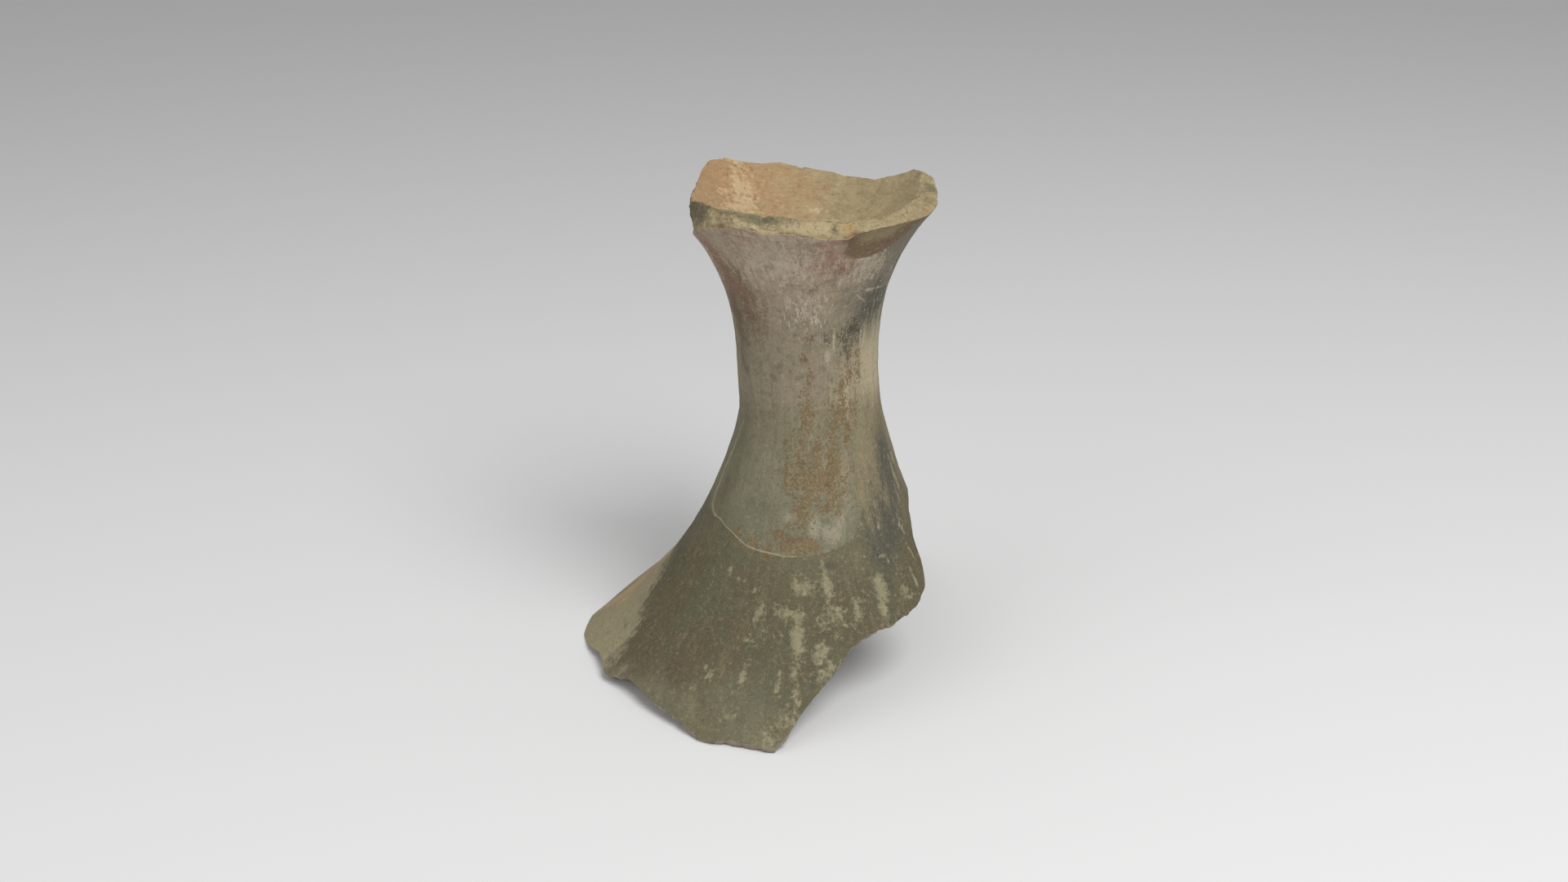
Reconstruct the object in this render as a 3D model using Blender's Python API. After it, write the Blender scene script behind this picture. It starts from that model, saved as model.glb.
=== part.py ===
import math

import bpy
import bmesh

# Broken stem of a footed bowl in fired clay, with the floor of the bowl on top and part of
# the spreading foot below. Metres, +Z up. Azimuth 0 faces the front (-Y), +90 the right (+X).

# Outer profile of the thrown shape
neckRadius = 0.025
kneeHeight = 0.0953
kneeSoftness = 0.0048
footFlare = 0.0611
flareReach = 0.0948
flareShare = 0.428
flarePower = 2.868
flareOval = 0.05
bowlStart = 0.1066
bowlFlare = 0.0175
bowlReach = 0.0603
bowlPower = 2.85

# Drift of the axis towards the left as it rises
leanSlope = -0.0184
leanLevel = 0.0805
bendStart = 0.1205
bendRate = -0.00113
bendReach = 0.050
kneeShift = 0.00105
kneeShiftLevel = 0.0865
kneeShiftSpread = 0.018

# Inside of the bowl floor and the hollow of the foot and stem
dishFloor = 0.1528
dishPower = 2.1
footWall = 0.0068
neckWall = 0.0100
wallChangeHeight = 0.090
hollowShoulder = 0.118
hollowTop = 0.139

# Bulge of the broken face at the left end of the bowl, and inset of the face under the foot
breakBulge = 0.0004
leftBulge = 0.0006
leftBulgeAzimuth = -93.0
leftBulgeSpread = 16.0
soleInset = 0.0011

# Mesh density
frontColumns = 70
backColumns = 20
frontFrom = -126.0
frontTo = 118.0
dishRings = 7
bodyRings = 21
hollowRings = 9
capRings = 3
sharpAngle = 38.0

# Unit of the lengths in the three lists of corners below
millimetre = 0.001

# Lower broken edge of the foot: azimuth in degrees, height in millimetres, and how far the
# broken face falls from that edge
footEdge = [
    (-180, 0.0, 0.0), (-163, 0.0, 0.0), (-156, 1.2, 0.4), (-149, 6.0, 0.8), (-141, 14.0, 1.0),
    (-133, 20.5, 1.0), (-125, 20.0, 1.0), (-119, 15.5, 1.0), (-113, 10.0, 1.0),
    (-109, 6.6, 1.0), (-105.5, 3.8, 1.0), (-103, 0.2, 0.2), (-101, 0.0, 0.0), (-93, 0.0, 0.0),
    (-90, 0.8, 0.4), (-84.5, 2.2, 0.8), (-78.3, 4.1, 1.0), (-72, 4.3, 1.0), (-67.2, 3.2, 1.5),
    (-62.3, 4.9, 1.0), (-58.2, 6.4, 1.0), (-54, 6.3, 1.0), (-48.7, 5.3, 1.0),
    (-43.2, 4.8, 1.2), (-37, 4.0, 1.5), (-32, 2.4, 1.9), (-29, 1.3, 1.3), (-25, 1.3, 1.3),
    (-21, 2.6, 2.6), (-15, 2.2, 2.2), (-9.6, 1.8, 1.8), (-8.2, 3.5, 1.4), (-6.2, 6.1, 1.0),
    (-4, 9.7, 1.0), (-1.5, 12.7, 1.0), (1.7, 15.8, 1.0), (5.5, 19.3, 1.0), (8.7, 22.1, 1.0),
    (11.4, 24.6, 1.0), (13.8, 26.6, 1.0), (19, 28.9, 1.0), (25.2, 30.3, 1.0),
    (31.4, 30.6, 1.0), (38.4, 32.0, 1.0),
    (45.3, 32.9, 1.0), (49.6, 34.3, 1.0), (56.5, 37.1, 1.0), (59, 39.4, 1.0), (62, 43.0, 1.0),
    (64.1, 47.6, 1.0), (66.5, 51.9, 1.0), (70.8, 55.2, 1.0), (75, 58.7, 1.0), (86, 61.8, 1.0),
    (97, 61.2, 1.0), (106, 59.4, 1.0), (112, 56.5, 1.0), (118, 52.0, 1.0), (124, 46.5, 1.0),
    (130, 38.0, 1.0), (136, 29.5, 1.0), (142, 19.0, 1.0), (147, 8.5, 1.0), (151, 2.0, 0.6),
    (154, 0.0, 0.0), (180, 0.0, 0.0)]

# Outer broken edge of the bowl: azimuth in degrees and height in millimetres
bowlOuterEdge = [
    (-180, 168.0), (-170, 168.8), (-161, 169.4), (-152, 170.8), (-143, 172.0), (-134, 171.4),
    (-125, 168.5), (-116, 165.4), (-107, 162.4), (-98, 160.2), (-88, 159.8), (-78, 161.0),
    (-66, 164.4), (-55, 167.8), (-45, 170.4), (-36, 171.8), (-28, 173.6), (-23, 174.2),
    (-19, 173.0), (-16, 171.8), (-8, 172.4), (-1, 172.2), (4, 171.0), (11, 169.8),
    (19, 169.6), (23, 172.0), (32, 173.0), (43, 173.2), (54, 172.6), (66, 171.6), (78, 171.2),
    (87, 171.7), (91, 171.2), (94, 172.0), (100, 173.0), (106, 173.9), (110, 174.5),
    (113, 174.6), (116, 174.0), (119, 172.0), (126, 167.8), (136, 166.2), (146, 165.8),
    (157, 166.0), (168, 167.0), (180, 168.0)]

# Inner broken edge of the bowl, counted from the outer one: azimuth in degrees, and inset
# and rise in millimetres
bowlInnerEdge = [
    (-180, 3.2, 4.9), (-170, 2.3, 5.8), (-161.5, 2.9, 5.1), (-152, 3.3, 4.6), (-146, 2.8, 5.3),
    (-141, 2.3, 5.7), (-134.5, 1.7, 6.4), (-126, 1.0, 7.3), (-121, 1.1, 7.3), (-112, 0.5, 8.5),
    (-100, -1.1, 10.3), (-90, -0.6, 11.3), (-81, 1.4, 12.2), (-66, 4.3, 10.1), (-50, 4.2, 7.5),
    (-39, 2.4, 6.3), (-32, 3.6, 5.3), (-24, 4.7, 3.5), (-14.5, 2.8, 5.6), (0, 3.3, 4.6),
    (13.4, 2.0, 6.1), (25.3, 5.3, 2.4), (35.3, 6.7, 1.0), (46, 6.5, 1.8), (56, 6.1, 3.4),
    (68, 5.8, 4.4), (80, 5.9, 3.2), (88, 6.8, 1.4), (92, 7.6, 0.8), (94.4, 7.9, 0.1),
    (98.9, 6.7, 1.2), (105.9, 6.2, 1.7), (107.5, 4.6, 3.6), (113, 5.3, 2.8), (116, 4.6, 3.0),
    (119.5, 3.7, 4.2), (126, 2.1, 6.2), (134, 3.1, 5.5), (137.4, 3.3, 5.3),
    (146, 3.2, 5.4), (157, 3.5, 5.2), (162.5, 3.1, 5.4), (180, 3.2, 4.9)]


def interpolate(corners, azimuth, column):
    # Straight run between the two corners on either side of an azimuth
    for before, after in zip(corners, corners[1:]):
        if before[0] <= azimuth <= after[0]:
            share = (azimuth - before[0]) / (after[0] - before[0])
            return (before[column] + (after[column] - before[column]) * share) * millimetre
    return corners[0][column] * millimetre


def outerRadius(height, azimuth):
    # Trumpet foot, plain neck and spreading bowl floor in one formula
    drop = kneeHeight - height
    fall = (math.sqrt(drop * drop + kneeSoftness * kneeSoftness) + drop) / 2 / flareReach
    foot = footFlare * (flareShare * fall + (1 - flareShare) * fall ** flarePower)
    rise = max(height - bowlStart, 0.0) / bowlReach
    oval = 1 - flareOval * math.cos(math.radians(azimuth))
    return neckRadius + foot * oval + bowlFlare * rise ** bowlPower


def axisShift(height):
    # Sideways place of the axis at a height
    bend = max(height - bendStart, 0.0) / bendReach
    knee = math.exp(-((height - kneeShiftLevel) / kneeShiftSpread) ** 2)
    return leanSlope * (height - leanLevel) + bendRate * bend * bend + kneeShift * knee


def hollowRadius(height, azimuth):
    # Inner face of the wall, set in from the outer face by the wall measured square to it
    step = 0.0005
    slope = (outerRadius(height + step, azimuth) - outerRadius(height - step, azimuth)) / (2 * step)
    share = min(height / wallChangeHeight, 1.0)
    wall = footWall + (neckWall - footWall) * share * share * (3 - 2 * share)
    level = min(height, hollowShoulder)
    return outerRadius(level, azimuth) - wall * math.sqrt(1 + slope * slope)


def place(radius, height, azimuth):
    # Point in space from radius, height and azimuth about the drifting axis
    angle = math.radians(azimuth)
    return (axisShift(height) + radius * math.sin(angle), -radius * math.cos(angle), height)


def columnAzimuths():
    # Closer columns round the front, wider ones round the back
    front = [frontFrom + (frontTo - frontFrom) * i / frontColumns for i in range(frontColumns)]
    gap = 360.0 - (frontTo - frontFrom)
    back = [frontTo + gap * i / backColumns for i in range(backColumns)]
    return [a if a <= 180.0 else a - 360.0 for a in front + back]


def buildRings(azimuths):
    # Rings of points from the middle of the dish, over the wall and up into the hollow
    rings = []
    rim = [interpolate(bowlOuterEdge, a, 1) for a in azimuths]
    inner = []
    for azimuth, low in zip(azimuths, rim):
        inset = interpolate(bowlInnerEdge, azimuth, 1)
        rise = interpolate(bowlInnerEdge, azimuth, 2)
        inner.append((outerRadius(low, azimuth) - inset, low + rise))
    edge = [interpolate(footEdge, a, 1) for a in azimuths]
    sole = [interpolate(footEdge, a, 1) - interpolate(footEdge, a, 2) for a in azimuths]
    for i in range(1, dishRings + 1):
        share = i / dishRings
        ring = []
        for azimuth, (radius, height) in zip(azimuths, inner):
            level = dishFloor + (height - dishFloor) * share ** dishPower
            ring.append(place(radius * share, level, azimuth))
        rings.append(ring)
    ring = []
    for azimuth, (radius, height), low in zip(azimuths, inner, rim):
        span = (azimuth - leftBulgeAzimuth) / leftBulgeSpread
        bulge = breakBulge + leftBulge * math.exp(-span * span)
        middle = (radius + outerRadius(low, azimuth)) / 2 + bulge
        ring.append(place(middle, (height + low) / 2 + breakBulge, azimuth))
    rings.append(ring)
    for i in range(bodyRings + 1):
        share = i / bodyRings
        ring = []
        for azimuth, top, low in zip(azimuths, rim, edge):
            level = top + (low - top) * share
            ring.append(place(outerRadius(level, azimuth), level, azimuth))
        rings.append(ring)
    ring = []
    for azimuth, high, low in zip(azimuths, edge, sole):
        ring.append(place(outerRadius(high, azimuth) - soleInset, low, azimuth))
    rings.append(ring)
    for i in range(hollowRings + 1):
        share = i / hollowRings
        ring = []
        for azimuth, low in zip(azimuths, sole):
            level = low + (hollowShoulder - low) * share
            ring.append(place(hollowRadius(level, azimuth), level, azimuth))
        rings.append(ring)
    for i in range(1, capRings + 1):
        turn = math.radians(90 * i / (capRings + 1))
        level = hollowShoulder + (hollowTop - hollowShoulder) * math.sin(turn)
        ring = []
        for azimuth in azimuths:
            radius = hollowRadius(hollowShoulder, azimuth) * math.cos(turn)
            ring.append(place(radius, level, azimuth))
        rings.append(ring)
    return rings


def buildMesh(name):
    # Join the rings into one closed skin with a single point at either end
    azimuths = columnAzimuths()
    rings = buildRings(azimuths)
    shape = bmesh.new()
    rows = [[shape.verts.new(point) for point in ring] for ring in rings]
    middle = shape.verts.new(place(0.0, dishFloor, 0.0))
    end = shape.verts.new(place(0.0, hollowTop, 0.0))
    count = len(azimuths)
    for i in range(count):
        j = (i + 1) % count
        shape.faces.new((middle, rows[0][i], rows[0][j]))
        shape.faces.new((end, rows[-1][j], rows[-1][i]))
        for upper, lower in zip(rows, rows[1:]):
            shape.faces.new((upper[i], lower[i], lower[j], upper[j]))
    bmesh.ops.triangulate(shape, faces=shape.faces[:])
    bmesh.ops.recalc_face_normals(shape, faces=shape.faces[:])
    xs = [v.co.x for v in shape.verts]
    ys = [v.co.y for v in shape.verts]
    zs = [v.co.z for v in shape.verts]
    shift = (-(min(xs) + max(xs)) / 2, -(min(ys) + max(ys)) / 2, -min(zs))
    bmesh.ops.translate(shape, vec=shift, verts=shape.verts[:])
    mesh = bpy.data.meshes.new(name)
    shape.to_mesh(mesh)
    shape.free()
    return mesh


def firedClay():
    # Plain grey-brown fired clay
    material = bpy.data.materials.new("fired_clay")
    material.use_nodes = True
    shader = material.node_tree.nodes["Principled BSDF"]
    shader.inputs["Base Color"].default_value = (0.21, 0.18, 0.125, 1.0)
    shader.inputs["Roughness"].default_value = 0.82
    return material


for old in list(bpy.data.objects):
    bpy.data.objects.remove(old, do_unlink=True)

bowlMesh = buildMesh("footed_bowl")
bowlMesh.shade_smooth()
bowlMesh.set_sharp_from_angle(angle=math.radians(sharpAngle))
bowlMesh.materials.append(firedClay())
bowl = bpy.data.objects.new("footed_bowl", bowlMesh)
bpy.context.scene.collection.objects.link(bowl)
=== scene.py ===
import math

import bpy
import numpy as np
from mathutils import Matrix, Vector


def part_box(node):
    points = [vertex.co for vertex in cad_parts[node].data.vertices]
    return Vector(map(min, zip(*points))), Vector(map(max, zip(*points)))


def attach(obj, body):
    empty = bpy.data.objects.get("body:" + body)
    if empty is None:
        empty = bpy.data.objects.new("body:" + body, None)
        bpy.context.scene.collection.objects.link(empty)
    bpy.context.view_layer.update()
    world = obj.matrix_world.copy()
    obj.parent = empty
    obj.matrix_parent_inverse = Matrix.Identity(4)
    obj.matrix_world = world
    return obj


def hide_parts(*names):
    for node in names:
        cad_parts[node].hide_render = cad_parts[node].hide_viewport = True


# Broken footed bowl in slipped clay: stem, floor of the bowl and part of the foot.
# Metres, +Z up. Azimuth 0 faces the front (-Y), +90 the right (+X).

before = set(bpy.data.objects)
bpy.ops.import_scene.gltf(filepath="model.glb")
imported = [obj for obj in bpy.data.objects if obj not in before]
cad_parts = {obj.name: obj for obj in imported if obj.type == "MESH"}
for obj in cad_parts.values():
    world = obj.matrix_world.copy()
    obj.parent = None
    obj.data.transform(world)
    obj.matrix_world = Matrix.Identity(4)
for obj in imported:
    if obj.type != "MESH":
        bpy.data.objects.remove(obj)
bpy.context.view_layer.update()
print("frame loaded")

millimetre = 0.001

# Shape of the clay, the same sizes as the solid has
clay = {
    "neckRadius": 0.025, "kneeHeight": 0.0953, "kneeSoftness": 0.0048,
    "footFlare": 0.0611, "flareReach": 0.0948, "flareShare": 0.428, "flarePower": 2.868,
    "flareOval": 0.05, "bowlStart": 0.1066, "bowlFlare": 0.0175, "bowlReach": 0.0603,
    "bowlPower": 2.85, "leanSlope": -0.0184, "leanLevel": 0.0805, "bendStart": 0.1205,
    "bendRate": -0.00113, "bendReach": 0.050, "kneeShift": 0.00105, "kneeShiftLevel": 0.0865,
    "kneeShiftSpread": 0.018, "dishFloor": 0.1528, "dishPower": 2.1, "footWall": 0.0068,
    "neckWall": 0.0100, "wallChangeHeight": 0.090, "hollowShoulder": 0.118, "hollowTop": 0.139,
    "breakBulge": 0.0004, "leftBulge": 0.0006, "leftBulgeAzimuth": -93.0,
    "leftBulgeSpread": 16.0, "soleInset": 0.0011,
    # Rows and columns of the fine skin, and the step that its slope is measured over
    "frontColumns": 264, "backColumns": 68, "frontFrom": -126.0, "frontTo": 118.0,
    "dishRows": 34, "breakRows": 18, "bodyRows": 168, "fallRows": 2, "soleRows": 7,
    "hollowRows": 44, "capRows": 8, "slopeStep": 0.0005,
    # Raggedness of the broken edges: height, seed, fewest and most waves round an edge and the
    # step between, how finer ones fall off, least share of each, height over which it grows
    # from the flat spots of the foot, and how close it keeps to the edge of the dish
    "ragged": 0.00007, "raggedSeed": 7, "raggedWaves": (23, 140, 5), "raggedFall": 0.8,
    "raggedLeast": 0.2, "raggedFree": 0.002, "raggedReach": 14,
    # Degrees over which the steepness of the dish is evened out, and the way down the profile
    # that the textures follow: top, steps, azimuth, and where the dish starts on it
    "dishSmoothing": 9.0,
    "profileTop": 0.19, "profileSteps": 400, "profileAzimuth": 60.0, "dishStart": 0.25,
    # What a patch's field has far from the patch
    "patchFloor": -2.0,
}

# Zones of the skin, one number a face, and the span of each one's points, which average the
# numbers of the faces round them
zoneOf = {"outside": 0.0, "dish": 1.0, "break": 2.0, "sole": 3.0, "hollow": 4.0}
zoneSpan = {"outside": (-1.0, 0.6), "break": (1.6, 2.6), "sole": (2.6, 3.4), "hollow": (3.4, 5.0)}
tornZones = ("break", "sole")

# Lower broken edge of the foot: azimuth in degrees, height and fall of the broken face in mm
footEdge = [
    (-180, 0, 0), (-163, 0, 0), (-156, 1.2, 0.4), (-149, 6, 0.8), (-141, 14, 1), (-133, 20.5, 1),
    (-125, 20, 1), (-119, 15.5, 1), (-113, 10, 1), (-109, 6.6, 1), (-105.5, 3.8, 1),
    (-103, 0.2, 0.2), (-101, 0, 0), (-93, 0, 0), (-90, 0.8, 0.4), (-84.5, 2.2, 0.8),
    (-78.3, 4.1, 1), (-72, 4.3, 1), (-67.2, 3.2, 1.5), (-62.3, 4.9, 1), (-58.2, 6.4, 1),
    (-54, 6.3, 1), (-48.7, 5.3, 1), (-43.2, 4.8, 1.2), (-37, 4, 1.5), (-32, 2.4, 1.9),
    (-29, 1.3, 1.3), (-25, 1.3, 1.3), (-21, 2.6, 2.6), (-15, 2.2, 2.2), (-9.6, 1.8, 1.8),
    (-8.2, 3.5, 1.4), (-6.2, 6.1, 1), (-4, 9.7, 1), (-1.5, 12.7, 1), (1.7, 15.8, 1),
    (5.5, 19.3, 1), (8.7, 22.1, 1), (11.4, 24.6, 1), (13.8, 26.6, 1), (19, 28.9, 1),
    (25.2, 30.3, 1), (31.4, 30.6, 1), (38.4, 32, 1), (45.3, 32.9, 1), (49.6, 34.3, 1),
    (56.5, 37.1, 1), (59, 39.4, 1), (62, 43, 1), (64.1, 47.6, 1), (66.5, 51.9, 1),
    (70.8, 55.2, 1), (75, 58.7, 1), (86, 61.8, 1), (97, 61.2, 1), (106, 59.4, 1), (112, 56.5, 1),
    (118, 52, 1), (124, 46.5, 1), (130, 38, 1), (136, 29.5, 1), (142, 19, 1), (147, 8.5, 1),
    (151, 2, 0.6), (154, 0, 0), (180, 0, 0)]

# Outer broken edge of the bowl: azimuth in degrees and height in mm
bowlOuterEdge = [
    (-180, 168), (-170, 168.8), (-161, 169.4), (-152, 170.8), (-143, 172), (-134, 171.4),
    (-125, 168.5), (-116, 165.4), (-107, 162.4), (-98, 160.2), (-88, 159.8), (-78, 161),
    (-66, 164.4), (-55, 167.8), (-45, 170.4), (-36, 171.8), (-28, 173.6), (-23, 174.2),
    (-19, 173), (-16, 171.8), (-8, 172.4), (-1, 172.2), (4, 171), (11, 169.8), (19, 169.6),
    (23, 172), (32, 173), (43, 173.2), (54, 172.6), (66, 171.6), (78, 171.2), (87, 171.7),
    (91, 171.2), (94, 172), (100, 173), (106, 173.9), (110, 174.5), (113, 174.6), (116, 174),
    (119, 172), (126, 167.8), (136, 166.2), (146, 165.8), (157, 166), (168, 167), (180, 168)]

# Inner broken edge of the bowl, counted from the outer one: azimuth, inset and rise in mm
bowlInnerEdge = [
    (-180, 3.2, 4.9), (-170, 2.3, 5.8), (-161.5, 2.9, 5.1), (-152, 3.3, 4.6), (-146, 2.8, 5.3),
    (-141, 2.3, 5.7), (-134.5, 1.7, 6.4), (-126, 1, 7.3), (-121, 1.1, 7.3), (-112, 0.5, 8.5),
    (-100, -1.1, 10.3), (-90, -0.6, 11.3), (-81, 1.4, 12.2), (-66, 4.3, 10.1), (-50, 4.2, 7.5),
    (-39, 2.4, 6.3), (-32, 3.6, 5.3), (-24, 4.7, 3.5), (-14.5, 2.8, 5.6), (0, 3.3, 4.6),
    (13.4, 2, 6.1), (25.3, 5.3, 2.4), (35.3, 6.7, 1), (46, 6.5, 1.8), (56, 6.1, 3.4),
    (68, 5.8, 4.4), (80, 5.9, 3.2), (88, 6.8, 1.4), (92, 7.6, 0.8), (94.4, 7.9, 0.1),
    (98.9, 6.7, 1.2), (105.9, 6.2, 1.7), (107.5, 4.6, 3.6), (113, 5.3, 2.8), (116, 4.6, 3),
    (119.5, 3.7, 4.2), (126, 2.1, 6.2), (134, 3.1, 5.5), (137.4, 3.3, 5.3), (146, 3.2, 5.4),
    (157, 3.5, 5.2), (162.5, 3.1, 5.4), (180, 3.2, 4.9)]

# Closed boundaries on the outside: millimetres to a degree of azimuth about there, and corners
# as azimuth in degrees and height in mm
outlines = {
    "slip": (0.55, [
        (-58, 104), (-66, 96), (-71, 90), (-74, 85), (-77, 78.4), (-79, 71.5), (-79, 65),
        (-76, 60.8), (-69, 59.2), (-61, 59.1), (-48, 57.4), (-36, 55), (-25, 54.2),
        (-14, 53.9), (-3, 54.3), (7, 55.3), (18, 57), (26, 60), (31, 66), (33, 76), (36, 90),
        (34, 104), (38, 112), (30, 124), (0, 140), (-40, 130)]),
    "spall": (0.7, [
        (16, 176), (17, 169), (20, 161.4), (25, 160.3), (33, 160.3), (40, 161.0), (47, 162.5),
        (53, 165.4), (56, 168.2), (59, 170.2), (64, 171.6), (70, 175), (44, 178)]),
    "wing": (1.2, [
        (-66, 2), (-68, 4.7), (-71, 9.2), (-75, 14), (-80, 17.5), (-83, 21), (-84, 25),
        (-88, 29), (-96, 33), (-112, 36), (-126, 30), (-128, 10), (-110, -6), (-80, -6)]),
}

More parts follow.
